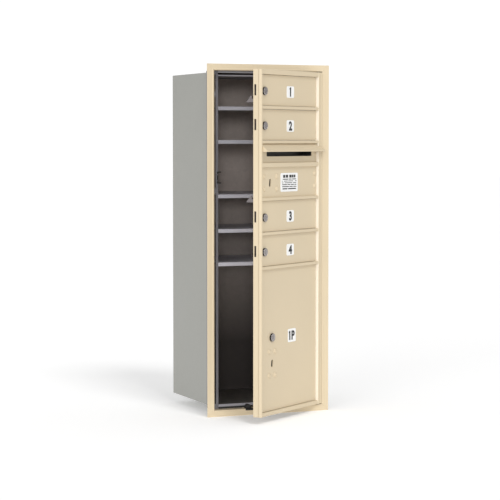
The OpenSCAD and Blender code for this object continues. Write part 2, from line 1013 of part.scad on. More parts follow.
module parcel_bolts() {
    color(paint)
    on_door()
    for (p = parcel_bolt_points) carriage_bolt(p, leaf_recess, leaf_back + case_plate_t);
}

trim_left();
trim_right();
trim_top();
trim_bottom();
jamb_left();
jamb_right();
side_panel_left();
side_panel_right();
top_panel();
bottom_panel();
back_panel();
shelves();
rivets();
frame_hinge_leaf();
hinge_rod();
strike_plate();
sill_catch();
door_hinge_leaf();
lock_stile();
lock_edge_plate();
hinge_stile();
head_rail();
foot_rail();
cross_rails();
outgoing_panel();
hood();
slot_baffle();
collection_panel();
panel_bolts();
notice_plate();
latch_studs();
arrow_case();
leaf_pins();
latch_bar();
arrow_plug();
arrow_bolt();
letter_door(1);  // letter_door_1
letter_door(2);  // letter_door_2
letter_door(3);  // letter_door_3
letter_door(4);  // letter_door_4
number_plate(1);  // number_plate_1
number_plate(2);  // number_plate_2
number_plate(3);  // number_plate_3
number_plate(4);  // number_plate_4
letter_lock(1);  // letter_lock_1
letter_lock(2);  // letter_lock_2
letter_lock(3);  // letter_lock_3
letter_lock(4);  // letter_lock_4
lock_cam(1);  // lock_cam_1
lock_cam(2);  // lock_cam_2
lock_cam(3);  // lock_cam_3
lock_cam(4);  // lock_cam_4
parcel_door();
parcel_plate();
parcel_lock_body();
parcel_lock_cam();
parcel_lock_bar();
parcel_arrow_case();
parcel_arrow_plug();
parcel_bolts();
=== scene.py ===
"""Looks for a recess-mounted cluster mailbox: sheet edges, locks, numbers, finishes and a studio."""
import json
import math

import bpy
from mathutils import Matrix, Vector


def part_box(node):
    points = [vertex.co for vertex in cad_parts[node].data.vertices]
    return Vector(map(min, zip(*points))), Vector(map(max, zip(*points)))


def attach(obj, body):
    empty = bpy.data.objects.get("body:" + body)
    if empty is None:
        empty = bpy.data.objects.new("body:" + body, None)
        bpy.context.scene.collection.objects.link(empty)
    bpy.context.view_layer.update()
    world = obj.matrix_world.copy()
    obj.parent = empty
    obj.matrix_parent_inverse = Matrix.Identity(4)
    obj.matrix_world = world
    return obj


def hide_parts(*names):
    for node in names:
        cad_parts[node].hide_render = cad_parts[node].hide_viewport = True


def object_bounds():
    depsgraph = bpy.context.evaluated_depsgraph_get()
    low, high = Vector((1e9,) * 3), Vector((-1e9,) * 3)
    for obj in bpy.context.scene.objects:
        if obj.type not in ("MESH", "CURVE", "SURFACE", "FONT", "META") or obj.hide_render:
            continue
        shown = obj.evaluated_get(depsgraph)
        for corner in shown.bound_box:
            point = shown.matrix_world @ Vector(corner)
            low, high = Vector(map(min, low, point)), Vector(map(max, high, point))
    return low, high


bl_info = {
    "name": "Cluster Mailbox Finish",
    "version": (1, 0, 0),
    "blender": (4, 5, 0),
    "location": "View3D > Sidebar > Mailbox",
    "description": "Rounds the sheet edges, builds the locks and numbers, and paints the cabinet",
    "category": "Object",
}

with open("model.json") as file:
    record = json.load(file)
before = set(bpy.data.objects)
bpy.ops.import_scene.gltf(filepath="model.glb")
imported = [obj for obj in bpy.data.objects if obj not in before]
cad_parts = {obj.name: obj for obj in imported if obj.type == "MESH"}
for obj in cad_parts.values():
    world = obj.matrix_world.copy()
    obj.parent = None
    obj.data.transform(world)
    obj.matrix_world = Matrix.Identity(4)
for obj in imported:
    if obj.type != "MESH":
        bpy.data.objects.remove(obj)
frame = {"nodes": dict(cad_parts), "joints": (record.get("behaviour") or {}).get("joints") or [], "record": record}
CAD_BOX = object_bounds()
RECORD = frame["record"]
BODY_OF = {n: b for b, members in RECORD["behaviour"]["bodies"].items() for n in members}
SLOT_OF = {s["node"]: s["material_slot"] for s in RECORD["subparts"]}
MM = 0.001
LETTER_DOORS = (1, 2, 3, 4)

# The door frame stands ajar, so what it carries is laid out along its own axes.
DOOR_IN = Vector(next(j for j in frame["joints"] if j["name"] == "master_lock_turn")["axis"]).normalized()
UP = Vector((0, 0, 1))
DOOR_RIGHT = DOOR_IN.cross(UP)


def centre(node):
    low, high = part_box(node)
    return (low + high) / 2


def on_door(point):
    """Axes of the door frame at a point: X to the right, Y into the door, Z up."""
    place = Matrix((DOOR_RIGHT, DOOR_IN, UP)).transposed().to_4x4()
    place.translation = point
    return place


def in_cabinet(point):
    return Matrix.Translation(point)


def reach(node, direction, furthest=True):
    """How far a node goes along a direction from the origin."""
    pick = max if furthest else min
    return pick(v.co.dot(direction) for v in frame["nodes"][node].data.vertices)


# ---------------------------------------------------------------- settings


class MailboxSizes(bpy.types.PropertyGroup):
    sheet_round: bpy.props.FloatProperty(
        name="Sheet rounding", description="Radius on the edges of the painted sheet",
        default=0.45 * MM, min=0.0, unit="LENGTH", precision=5)
    small_round: bpy.props.FloatProperty(
        name="Small part rounding", description="Radius on the edges of latches, cams and cases",
        default=0.25 * MM, min=0.0, unit="LENGTH", precision=5)
    digit_height: bpy.props.FloatProperty(
        name="Digit height", description="Height of the numbers on the door plates",
        default=23 * MM, min=0.005, unit="LENGTH", precision=5)
    ink_depth: bpy.props.FloatProperty(
        name="Ink depth", description="How far numbers and print stand off their plates",
        default=0.15 * MM, min=0.0, unit="LENGTH", precision=5)
    floor_span: bpy.props.FloatProperty(
        name="Floor span", description="Length of each side of the studio floor",
        default=60.0, min=2.0, unit="LENGTH")
    lens: bpy.props.FloatProperty(
        name="Lens", description="Focal length of the camera in millimetres", default=131.86)


class MailboxColours(bpy.types.PropertyGroup):
    coat: bpy.props.FloatVectorProperty(
        name="Powder coat", description="Colour of the doors, stiles and trim",
        subtype="COLOR", size=3, default=(0.645, 0.538, 0.372), min=0, max=1)
    body: bpy.props.FloatVectorProperty(
        name="Cabinet sheet", description="Colour of the outside of the cabinet",
        subtype="COLOR", size=3, default=(0.32, 0.32, 0.295), min=0, max=1)
    inside: bpy.props.FloatVectorProperty(
        name="Cabinet inside", description="Colour of the sheet inside the cabinet",
        subtype="COLOR", size=3, default=(0.56, 0.49, 0.45), min=0, max=1)
    # painted shade: the colour the inside sheet is painted down at the sill, in place of the light that fades
    # there
    inside_low: bpy.props.FloatVectorProperty(
        name="Cabinet inside, low", description="Colour of the inside sheet down at the sill",
        subtype="COLOR", size=3, default=(0.05, 0.043, 0.041), min=0, max=1)
    shelf: bpy.props.FloatVectorProperty(
        name="Shelf sheet", description="Colour of the shelves and the jambs",
        subtype="COLOR", size=3, default=(0.31, 0.31, 0.345), min=0, max=1)
    floor: bpy.props.FloatVectorProperty(
        name="Floor", description="Colour of the studio floor",
        subtype="COLOR", size=3, default=(0.97, 0.97, 0.97), min=0, max=1)


def sizes():
    return bpy.context.scene.mailbox_sizes


def colours():
    return bpy.context.scene.mailbox_colours


# ---------------------------------------------------------------- shader groups


def group(name, inputs, outputs):
    """An empty shader group with named float inputs, and its first and last nodes."""
    tree = bpy.data.node_groups.new(name, "ShaderNodeTree")
    for label, default in inputs.items():
        socket = tree.interface.new_socket(label, in_out="INPUT", socket_type="NodeSocketFloat")
        socket.default_value = default
    for label in outputs:
        tree.interface.new_socket(label, in_out="OUTPUT", socket_type="NodeSocketFloat")
    return tree, tree.nodes.new("NodeGroupInput"), tree.nodes.new("NodeGroupOutput")


def node(tree, kind, settings=None, **inputs):
    """A shader node with its settings, its input values and its incoming links."""
    made = tree.nodes.new("ShaderNode" + kind)
    for key, value in (settings or {}).items():
        setattr(made, key, value)
    for key, value in inputs.items():
        socket = made.inputs[int(key[1:])] if key[0] == "i" and key[1:].isdigit() else made.inputs[key]
        if isinstance(value, bpy.types.NodeSocket):
            tree.links.new(value, socket)
        else:
            socket.default_value = value
    return made


def math_node(tree, operation, a, b=0.0, clamp=False):
    made = node(tree, "Math", {"operation": operation, "use_clamp": clamp}, i0=a, i1=b)
    return made.outputs[0]


def span(tree, value, low, high, to_low=0.0, to_high=1.0):
    """Maps low..high onto to_low..to_high, held at the ends."""
    made = node(tree, "MapRange", None, Value=value)
    for label, number in zip(("From Min", "From Max", "To Min", "To Max"), (low, high, to_low, to_high)):
        made.inputs[label].default_value = number
    return made.outputs["Result"]


def place_of(tree, scale=(1, 1, 1)):
    coords = node(tree, "TexCoord").outputs["Object"]
    made = node(tree, "Mapping", None, Vector=coords)
    made.inputs["Scale"].default_value = scale
    return made.outputs["Vector"]


def noise(tree, scale, detail=2.0, stretch=(1, 1, 1), rough=0.5):
    return node(tree, "TexNoise", None, Vector=place_of(tree, stretch), Scale=scale,
                Detail=detail, Roughness=rough).outputs["Fac"]


def coat_group():
    """Powder coat: fine orange peel and a slow drift in tone."""
    tree, start, end = group("powder_coat", {"Peel Scale": 900.0}, ("Height", "Tone", "Speckle"))
    peel = node(tree, "TexNoise", None, Vector=place_of(tree), Detail=3.0, Roughness=0.6)
    tree.links.new(start.outputs["Peel Scale"], peel.inputs["Scale"])
    tree.links.new(peel.outputs["Fac"], end.inputs["Height"])
    tree.links.new(span(tree, noise(tree, 3.5, 3.0), 0.3, 0.7), end.inputs["Tone"])
    fleck = noise(tree, 2600.0, 1.0)
    tree.links.new(span(tree, fleck, 0.62, 0.72), end.inputs["Speckle"])
    return tree


def wear_group():
    """Mask of outer edges, broken up as handling wears them."""
    tree, start, end = group("edge_wear", {"Radius": 0.0012, "Amount": 1.0}, ("Mask",))
    round_edge = node(tree, "Bevel", {"samples": 6})
    tree.links.new(start.outputs["Radius"], round_edge.inputs["Radius"])
    normal = node(tree, "NewGeometry").outputs["Normal"]
    dot = node(tree, "VectorMath", {"operation": "DOT_PRODUCT"}, i0=normal, i1=round_edge.outputs[0])
    edge = span(tree, math_node(tree, "SUBTRACT", 1.0, dot.outputs["Value"]), 0.02, 0.22)
    broken = span(tree, noise(tree, 240.0, 4.0, rough=0.7), 0.42, 0.62)
    mask = math_node(tree, "MULTIPLY", math_node(tree, "MULTIPLY", edge, broken), start.outputs["Amount"])
    tree.links.new(mask, end.inputs["Mask"])
    return tree


def grain_group():
    """Fine parallel streaks of rolled or brushed metal, running along Z or across it."""
    tree, start, end = group("metal_grain", {"Across": 0.0}, ("Streak", "Blotch"))
    upright = noise(tree, 60.0, 4.0, (18, 18, 0.5), 0.65)
    level = noise(tree, 60.0, 4.0, (0.5, 0.5, 18), 0.65)
    mixed = node(tree, "Mix", {"data_type": "FLOAT"}, i0=start.outputs["Across"], i2=upright, i3=level)
    tree.links.new(mixed.outputs[0], end.inputs["Streak"])
    tree.links.new(span(tree, noise(tree, 9.0, 4.0, rough=0.6), 0.3, 0.7), end.inputs["Blotch"])
    return tree


def spangle_group():
    """The crystal patches of galvanised sheet."""
    tree, start, end = group("zinc_spangle", {"Scale": 120.0}, ("Tone", "Height"))
    cells = node(tree, "TexVoronoi", {"feature": "F1"}, Vector=place_of(tree))
    tree.links.new(start.outputs["Scale"], cells.inputs["Scale"])
    tone = node(tree, "SeparateColor", None, Color=cells.outputs["Color"]).outputs[0]
    tree.links.new(tone, end.inputs["Tone"])
    tree.links.new(cells.outputs["Distance"], end.inputs["Height"])
    return tree


def dust_group():
    """Mask of the dust that settles on faces that look up."""
    tree, start, end = group("settled_dust", {"Amount": 0.3}, ("Mask",))
    normal = node(tree, "NewGeometry").outputs["Normal"]
    up = node(tree, "SeparateXYZ", None, Vector=normal).outputs["Z"]
    level = span(tree, up, 0.5, 1.0)
    patchy = span(tree, noise(tree, 35.0, 4.0), 0.3, 0.7, 0.35, 1.0)
    mask = math_node(tree, "MULTIPLY", math_node(tree, "MULTIPLY", level, patchy), start.outputs["Amount"])
    tree.links.new(mask, end.inputs["Mask"])
    return tree


GROUPS = {}


def effect(tree, name, **values):
    """Places a shared effect in a material with its own values."""
    makers = {"coat": coat_group, "wear": wear_group, "grain": grain_group,
              "spangle": spangle_group, "dust": dust_group}
    if name not in GROUPS:
        GROUPS[name] = makers[name]()
    made = tree.nodes.new("ShaderNodeGroup")
    made.node_tree = GROUPS[name]
    for label, value in values.items():
        made.inputs[label.replace("_", " ")].default_value = value
    return made.outputs


# ---------------------------------------------------------------- materials


def material(name, roughness=0.5, metallic=0.0, **sockets):
    made = bpy.data.materials.new(name)
    made.use_nodes = True
    shader = made.node_tree.nodes["Principled BSDF"]
    shader.inputs["Roughness"].default_value = roughness
    shader.inputs["Metallic"].default_value = metallic
    for label, value in sockets.items():
        shader.inputs[label.replace("_", " ")].default_value = value
    return made, made.node_tree, shader


def blend_colour(tree, fac, a, b, mode="MIX"):
    """Mixes two colours; each is a socket or three numbers."""
    made = node(tree, "Mix", {"data_type": "RGBA", "blend_type": mode}, i0=fac)
    for index, value in ((6, a), (7, b)):
        if isinstance(value, bpy.types.NodeSocket):
            tree.links.new(value, made.inputs[index])
        else:
            made.inputs[index].default_value = (*value, 1.0)
    return made.outputs[2]


def shade(colour, factor):
    return tuple(min(1.0, c * factor) for c in colour)


def bump(tree, shader, height, strength, distance):
    made = node(tree, "Bump", None, Height=height, Strength=strength, Distance=distance)
    tree.links.new(made.outputs[0], shader.inputs["Normal"])


def powder_coat(name, colour, wear=0.6, painted_highlight=None):
    """Satin powder coat over steel, rubbed a little at its edges.

    `painted_highlight` is a paler colour for the faces turned to the door's free edge. It isn't a real
    change of paint: it stands in for the highlight that a large soft light leaves on them."""
    made, tree, shader = material(name, Coat_Weight=0.05, Coat_Roughness=0.25)
    coat = effect(tree, "coat")
    rubbed = effect(tree, "wear", Radius=0.0011, Amount=wear)["Mask"]
    dust = effect(tree, "dust", Amount=0.12)["Mask"]
    base = blend_colour(tree, coat["Tone"], shade(colour, 0.97), shade(colour, 1.03))
    base = blend_colour(tree, math_node(tree, "MULTIPLY", coat["Speckle"], 0.10), base, shade(colour, 0.75))
    base = blend_colour(tree, rubbed, base, shade(colour, 1.18))
    # faces turned to the door's free edge get the paler colour: a painted highlight
    if painted_highlight:
        normal = node(tree, "TexCoord").outputs["Normal"]
        facing = node(tree, "VectorMath", {"operation": "DOT_PRODUCT"}, i0=normal, i1=-DOOR_RIGHT)
        edge = span(tree, facing.outputs["Value"], 0.7, 0.95)
        base = blend_colour(tree, edge, base, painted_highlight)
    base = blend_colour(tree, dust, base, (0.62, 0.59, 0.54))
    tree.links.new(base, shader.inputs["Base Color"])
    rough = math_node(tree, "ADD", span(tree, coat["Tone"], 0, 1, 0.40, 0.48),
                      math_node(tree, "MULTIPLY", dust, 0.5))
    tree.links.new(rough, shader.inputs["Roughness"])
    bump(tree, shader, coat["Height"], 0.12, 0.0002)
    return made


def cabinet_sheet():
    """Coated outside, and bare sheet inside, of the same panels; the inside is painted darker towards the sill as
    painted shade.
    """
    made, tree, shader = material("cabinet_sheet", metallic=0.0)
    grain = effect(tree, "grain", Across=0.0)
    spangle = effect(tree, "spangle", Scale=95.0)
    dust = effect(tree, "dust", Amount=0.35)["Mask"]
    rubbed = effect(tree, "wear", Radius=0.0015, Amount=0.8)["Mask"]
    outside = outside_mask(tree)
    skin = colours().body
    outside_tone = blend_colour(tree, grain["Blotch"], shade(skin, 0.96), shade(skin, 1.04))
    outside_tone = blend_colour(tree, math_node(tree, "MULTIPLY", spangle["Tone"], 0.10), outside_tone, shade(skin, 0.8))
    # the second colour is painted shade at the sill
    bare, low = colours().inside, colours().inside_low
    inside_and_painted_shade = blend_colour(tree, spangle["Tone"], shade(bare, 0.95), shade(bare, 1.05))
    inside_and_painted_shade = blend_colour(tree, math_node(tree, "MULTIPLY", grain["Streak"], 0.2), inside_and_painted_shade, shade(bare, 0.8))
    where = node(tree, "SeparateXYZ", None, Vector=place_of(tree)).outputs
    floor_z, lid_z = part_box("bottom_panel")[1].z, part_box("top_panel")[0].z
    # the inside is painted darker towards the sill, in place of the light that fades there
    dark_until, lit_from = 0.15, 0.70
    rise = span(tree, where["Z"], floor_z + dark_until * (lid_z - floor_z),
                floor_z + lit_from * (lid_z - floor_z))
    inside_and_painted_shade = blend_colour(tree, rise, low, inside_and_painted_shade)
    base = blend_colour(tree, outside, inside_and_painted_shade, outside_tone)
    # the front lips have the shelves' tone, and the bottom one a painted shadow under it
    lip_depth, shadow_below = 1.9 * MM, -3 * MM
    front = math_node(tree, "LESS_THAN", where["Y"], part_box("bottom_panel")[0].y + lip_depth)
    base = blend_colour(tree, front, base, colours().shelf)
    shadow = math_node(tree, "MULTIPLY", front, math_node(tree, "LESS_THAN", where["Z"], shadow_below))
    base = blend_colour(tree, shadow, base, (0.02, 0.02, 0.02))
    base = blend_colour(tree, rubbed, base, (0.55, 0.55, 0.54))
    base = blend_colour(tree, dust, base, (0.45, 0.43, 0.40))
    tree.links.new(base, shader.inputs["Base Color"])
    rough = math_node(tree, "ADD", span(tree, grain["Blotch"], 0, 1, 0.42, 0.56),
                      math_node(tree, "MULTIPLY", dust, 0.3))
    tree.links.new(rough, shader.inputs["Roughness"])
    height = math_node(tree, "ADD", grain["Streak"], math_node(tree, "MULTIPLY", spangle["Height"], 0.5))
    bump(tree, shader, height, 0.08, 0.0002)
    return made


def outside_mask(tree):
    """1 on the outside faces of the cabinet's panels and 0 inside, from where the surface lies."""
    low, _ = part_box("side_panel_left")
    _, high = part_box("side_panel_right")
    skin = 0.7 * MM
    where = node(tree, "SeparateXYZ", None, Vector=place_of(tree)).outputs
    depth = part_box("back_panel")[1].y
    tests = [("LESS_THAN", "X", low.x + skin), ("GREATER_THAN", "X", high.x - skin),
             ("GREATER_THAN", "Y", depth - skin), ("LESS_THAN", "Z", low.z + skin),
             ("GREATER_THAN", "Z", high.z - skin)]
    total = 0.0
    for operation, axis, limit in tests:
        total = math_node(tree, "ADD", math_node(tree, operation, where[axis], limit), total, clamp=True)
    return total


def shelf_sheet(name, colour, lower=None):
    """Rolled sheet with a low sheen.

    `lower` is how much paler the lowest shelf is than the top one, in place of light that falls there."""
    made, tree, shader = material(name, metallic=0.35)
    grain = effect(tree, "grain", Across=1.0)
    dust = effect(tree, "dust", Amount=0.3)["Mask"]
    rubbed = effect(tree, "wear", Radius=0.0010, Amount=0.9)["Mask"]
    base = blend_colour(tree, grain["Blotch"], shade(colour, 0.90), shade(colour, 1.10))
    if lower:
        low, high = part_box("shelves")
        height = node(tree, "SeparateXYZ", None, Vector=place_of(tree)).outputs["Z"]
        base = blend_colour(tree, span(tree, height, high.z, low.z), base, shade(colour, lower))
    base = blend_colour(tree, rubbed, base, (0.62, 0.62, 0.64))
    base = blend_colour(tree, dust, base, (0.40, 0.38, 0.36))
    tree.links.new(base, shader.inputs["Base Color"])
    tree.links.new(span(tree, grain["Streak"], 0.3, 0.7, 0.34, 0.5), shader.inputs["Roughness"])
    bump(tree, shader, grain["Streak"], 0.1, 0.0002)
    return made


def plated(name, colour, low_rough, high_rough, wear_colour, sides=None):
    """Plated steel: streaks, cloudy patches and rubbed edges.

    `sides` is painted shade: a dark colour on the faces that turn away from the door's front, in place of the
    shade on them."""
    made, tree, shader = material(name, metallic=1.0)
    grain = effect(tree, "grain", Across=0.5)
    rubbed = effect(tree, "wear", Radius=0.0006, Amount=1.0)["Mask"]
    base = blend_colour(tree, grain["Blotch"], shade(colour, 0.86), shade(colour, 1.08))
    base = blend_colour(tree, rubbed, base, wear_colour)
    # painted shade on the faces that turn away from the door's front
    if sides:
        normal = node(tree, "TexCoord").outputs["Normal"]
        facing = node(tree, "VectorMath", {"operation": "DOT_PRODUCT"}, i0=normal, i1=DOOR_IN)
        front = span(tree, math_node(tree, "ABSOLUTE", facing.outputs["Value"]), 0.45, 0.8)
        base = blend_colour(tree, front, sides, base)
    tree.links.new(base, shader.inputs["Base Color"])
    tree.links.new(span(tree, grain["Streak"], 0.3, 0.7, low_rough, high_rough), shader.inputs["Roughness"])
    bump(tree, shader, grain["Streak"], 0.06, 0.0001)
    return made


def studio_floor():
    """Matt white floor that glows a little, so that shadows on it stay faint."""
    made, tree, shader = material("floor", roughness=0.9)
    cloud = span(tree, noise(tree, 3.0, 2.0), 0.3, 0.7)
    base = blend_colour(tree, cloud, shade(colours().floor, 0.995), colours().floor)
    tree.links.new(base, shader.inputs["Base Color"])
    shader.inputs["Emission Color"].default_value = (1, 1, 1, 1)
    shader.inputs["Emission Strength"].default_value = 0.2
    bump(tree, shader, noise(tree, 400.0, 2.0), 0.02, 0.0002)
    return made


def moulded(name, colour, roughness, tone=0.04, fine=700.0):
    """Smooth plastic or ink with a faint texture and a slow change in tone."""
    made, tree, shader = material(name)
    cloud = span(tree, noise(tree, 45.0, 3.0), 0.3, 0.7)
    texture = noise(tree, fine, 2.0)
    base = blend_colour(tree, cloud, shade(colour, 1 - tone), shade(colour, 1 + tone))
    tree.links.new(base, shader.inputs["Base Color"])
    tree.links.new(span(tree, cloud, 0, 1, roughness - 0.05, roughness + 0.06), shader.inputs["Roughness"])
    bump(tree, shader, texture, 0.06, 0.0001)
    return made


MATERIALS = {}


def finish_for(slot):
    """The material of one of the record's slots, made the first time that it is asked for."""
    makers = {
        "trim_paint": lambda: powder_coat("trim_paint", colours().coat),
        "door_paint": lambda: powder_coat("door_paint", colours().coat),
        # the hinge stile's coat carries a painted highlight on the faces turned to the door's free edge
        "hinge_coat_painted_highlight": lambda: powder_coat("hinge_coat_painted_highlight", colours().coat, painted_highlight=(0.92, 0.85, 0.73)),
        "cabinet_sheet": cabinet_sheet,
        "shelf_sheet": lambda: shelf_sheet("shelf_sheet", colours().shelf, lower=2.1),
        # the jambs are the shelf sheet painted darker: painted shade
        "jamb_sheet_painted_shade": lambda: shelf_sheet("jamb_sheet_painted_shade", shade(colours().shelf, 0.66)),
        "zinc_steel": lambda: plated("zinc_steel", (0.26, 0.235, 0.235), 0.28, 0.45, (0.45, 0.42, 0.42)),
        # the lock heads' sides are painted near black: painted shade
        "lock_nickel": lambda: plated("lock_nickel", (0.42, 0.39, 0.38), 0.16, 0.32, (0.7, 0.66, 0.64),
                                      sides=(0.035, 0.028, 0.026)),
        "placard": lambda: moulded("placard", (0.86, 0.86, 0.85), 0.35),
        "black_parts": lambda: moulded("black_parts", (0.012, 0.012, 0.012), 0.45, 0.3),
        "ink": lambda: moulded("ink", (0.012, 0.012, 0.013), 0.5, 0.2),
        "floor": studio_floor,
    }
    if slot not in MATERIALS:
        MATERIALS[slot] = makers[slot]()
    return MATERIALS[slot]


# ---------------------------------------------------------------- modelling


def start_clear():
    if bpy.context.mode != "OBJECT":
        bpy.ops.object.mode_set(mode="OBJECT")
    bpy.ops.object.select_all(action="DESELECT")


def select_only(obj):
    start_clear()
    obj.select_set(True)
    bpy.context.view_layer.objects.active = obj


def apply_modifiers(obj):
    select_only(obj)
    for modifier in list(obj.modifiers):
        bpy.ops.object.modifier_apply(modifier=modifier.name)


def settle(obj, name, body, slot, finish=None, place=None, smooth=30.0, replaced=()):
    """Puts a piece's place into its mesh, gives it its finish and makes it ride on its body."""
    bpy.context.view_layer.update()
    obj.data.transform((place or Matrix.Identity(4)) @ obj.matrix_world)
    obj.matrix_world = Matrix.Identity(4)
    obj.name = obj.data.name = name
    obj.data.materials.clear()
    obj.data.materials.append(finish_for(finish or slot))
    select_only(obj)
    bpy.ops.object.shade_smooth_by_angle(angle=math.radians(smooth))
    weighted = obj.modifiers.new("weighted", "WEIGHTED_NORMAL")
    weighted.keep_sharp = True
    apply_modifiers(obj)
    start_clear()
    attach(obj, body)
    if replaced:
        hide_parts(*replaced)
    return obj


def joined(pieces):
    start_clear()
    for piece in pieces:
        piece.select_set(True)
    bpy.context.view_layer.objects.active = pieces[0]
    if len(pieces) > 1:
        bpy.ops.object.join()
    return bpy.context.view_layer.objects.active


def turned(steps, sides=48):
    """A turned shape about Y: each step is a radius and a distance along Y, in millimetres.

    A profile that ends where it began is a ring; any other is closed with a face at each end."""
    start_clear()
    radius, level = steps[0]
    bpy.ops.mesh.primitive_circle_add(vertices=sides, radius=radius * MM, location=(0, 0, level * MM))
    obj = bpy.context.active_object
    bpy.ops.object.transform_apply(location=True, rotation=True, scale=True)
    bpy.ops.object.mode_set(mode="EDIT")
    bpy.ops.mesh.select_all(action="SELECT")
    for step_radius, step_level in steps[1:]:
        bpy.ops.mesh.extrude_region_move(TRANSFORM_OT_translate={"value": (0, 0, (step_level - level) * MM)})
        grow = step_radius / radius
        bpy.ops.transform.resize(value=(grow, grow, 1), center_override=(0, 0, step_level * MM))
        radius, level = step_radius, step_level
    bpy.ops.mesh.select_all(action="SELECT")
    bpy.ops.mesh.remove_doubles(threshold=0.001 * MM)
    if steps[-1] != steps[0]:
        bpy.ops.mesh.fill_holes(sides=0)
        bpy.ops.mesh.select_all(action="SELECT")
    bpy.ops.mesh.normals_make_consistent(inside=False)
    bpy.ops.object.mode_set(mode="OBJECT")
    obj.data.transform(Matrix.Rotation(math.radians(-90), 4, "X"))
    return obj


def bar(size, rounding, segments=2):
    """A bar with round edges, centred, its size in millimetres."""
    start_clear()
    bpy.ops.mesh.primitive_cube_add(size=MM)
    obj = bpy.context.active_object
    obj.scale = size
    bpy.ops.object.transform_apply(location=True, rotation=True, scale=True)
    bpy.ops.object.mode_set(mode="EDIT")
    bpy.ops.mesh.select_all(action="SELECT")
    bpy.ops.mesh.bevel(offset=rounding * MM, segments=segments, affect="EDGES")
    bpy.ops.object.mode_set(mode="OBJECT")
    return obj


def moved(obj, offset):
    obj.data.transform(Matrix.Translation(Vector(offset) * MM))
    return obj


def copy_of(obj):
    made = obj.copy()
    made.data = obj.data.copy()
    bpy.context.scene.collection.objects.link(made)
    return made


def rounded_copy(name, radius, segments=2):
    """A CAD node's own shape as a clean mesh with round edges, which stands for the node."""
    obj = copy_of(frame["nodes"][name])
    for key in [k for k in obj.keys() if k.startswith("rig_")]:
        del obj[key]
    obj.parent = None
    obj.matrix_world = Matrix.Identity(4)
    select_only(obj)
    if obj.data.has_custom_normals:
        bpy.ops.mesh.customdata_custom_splitnormals_clear()
    bpy.ops.object.mode_set(mode="EDIT")
    bpy.ops.mesh.select_all(action="SELECT")
    bpy.ops.mesh.remove_doubles(threshold=0.002 * MM)
    bpy.ops.mesh.dissolve_limited(angle_limit=math.radians(0.5))
    bpy.ops.object.mode_set(mode="OBJECT")
    if radius > 0:
        edges = obj.modifiers.new("edges", "BEVEL")
        edges.limit_method = "ANGLE"
        edges.angle_limit = math.radians(40)
        edges.width = radius
        edges.segments = segments
        apply_modifiers(obj)
    return settle(obj, name + "_rounded", BODY_OF[name], SLOT_OF[name], finish=FINISH_OF.get(name),
                  replaced=(name,))


# ---------------------------------------------------------------- operators

SMOOTH_ONLY = ("frame_hinge_leaf", "door_hinge_leaf", "hinge_rod", "rivets", "leaf_pins", "latch_studs",
               "panel_bolts", "parcel_bolts")
# the hinge stile's finish carries a painted highlight, and the jambs' finish is the shelf sheet painted darker as
# painted shade
FINISH_OF = {"hinge_stile": "hinge_coat_painted_highlight", "jamb_left": "jamb_sheet_painted_shade", "jamb_right": "jamb_sheet_painted_shade"}
LOCK_BODIES = tuple(f"letter_lock_{n}" for n in LETTER_DOORS) + ("parcel_lock_body",)
PLUGS = tuple(f"lock_cam_{n}" for n in LETTER_DOORS) + ("parcel_lock_cam", "arrow_plug", "parcel_arrow_plug")


def rounding_of(name):
    if name in SMOOTH_ONLY:
        return 0.0
    if SLOT_OF[name] in ("door_paint", "trim_paint", "cabinet_sheet", "shelf_sheet"):
        return sizes().sheet_round
    if name in PLUGS:
        return 0.08 * MM
    return sizes().small_round


class MAILBOX_OT_round_sheet_edges(bpy.types.Operator):
    """Stands a mesh with round edges in for each sheet and each small part"""
    bl_idname = "mailbox.round_sheet_edges"
    bl_label = "Round Sheet Edges"

    def execute(self, context):
        for name in sorted(frame["nodes"]):
            if name not in LOCK_BODIES:
                rounded_copy(name, rounding_of(name))
        return {"FINISHED"}


class MAILBOX_OT_lock_bodies(bpy.types.Operator):
    """Turns the head, the threaded barrel and the hex nut of each cam lock"""
    bl_idname = "mailbox.lock_bodies"
    bl_label = "Lock Bodies"

    HEAD = [(5.6, 9.4), (5.6, -4.7), (5.9, -5.0), (8.2, -5.0), (8.4, -4.75), (8.8, -4.75), (9.0, -5.0),
            (9.8, -4.95), (10.5, -4.6), (10.9, -4.0), (11.0, -3.4), (11.0, -0.2), (10.8, 0.0), (9.5, 0.0)]
    NUT = [(9.0, 2.5), (11.6, 2.5), (12.4, 2.9), (12.4, 5.6), (11.6, 6.0), (9.0, 6.0)]
    PITCH = 0.8
    TURNS = 11

    def execute(self, context):
        threads = []
        for turn in range(self.TURNS):
            threads += [(9.5, 0.3 + turn * self.PITCH), (9.05, 0.3 + (turn + 0.5) * self.PITCH)]
        body = turned(self.HEAD + threads + [(9.2, 9.4), self.HEAD[0]])
        nut = turned(self.NUT, sides=6)
        whole = joined([body, nut])
        for name in LOCK_BODIES:
            leaf = centre(name)
            # the head's back lies on the leaf, so it is found from the lock's front face
            front = reach(name, DOOR_IN, furthest=False) + 5.0 * MM
            point = leaf + DOOR_IN * (front - leaf.dot(DOOR_IN))
            settle(copy_of(whole), name + "_turned", BODY_OF[name], SLOT_OF[name],
                   place=on_door(point), replaced=(name,))
        bpy.data.objects.remove(whole)
        return {"FINISHED"}


class MAILBOX_OT_keyway_shutters(bpy.types.Operator):
    """Sets a black piece into the keyway of each cam lock's plug, as painted shade deep in the keyway"""
    bl_idname = "mailbox.keyway_shutters"
    bl_label = "Keyway Painted Shade"

    def execute(self, context):
        for name in LOCK_BODIES:
            plug = name.replace("letter_lock", "lock_cam").replace("lock_body", "lock_cam")
            axis = centre(name)
            point = axis + DOOR_IN * (reach(plug, DOOR_IN, furthest=False) + 1.2 * MM - axis.dot(DOOR_IN))
            # painted shade: a black bar and rib fill the keyway behind its mouth
            leaf = moved(bar((1.2, 0.6, 6.6), 0.2), (0, 0.3, 0))
            rib = moved(bar((0.5, 0.5, 5.4), 0.15), (0, -0.1, 0))
            settle(joined([leaf, rib]), name + "_shutter", BODY_OF[plug], "black_parts", place=on_door(point))
        return {"FINISHED"}


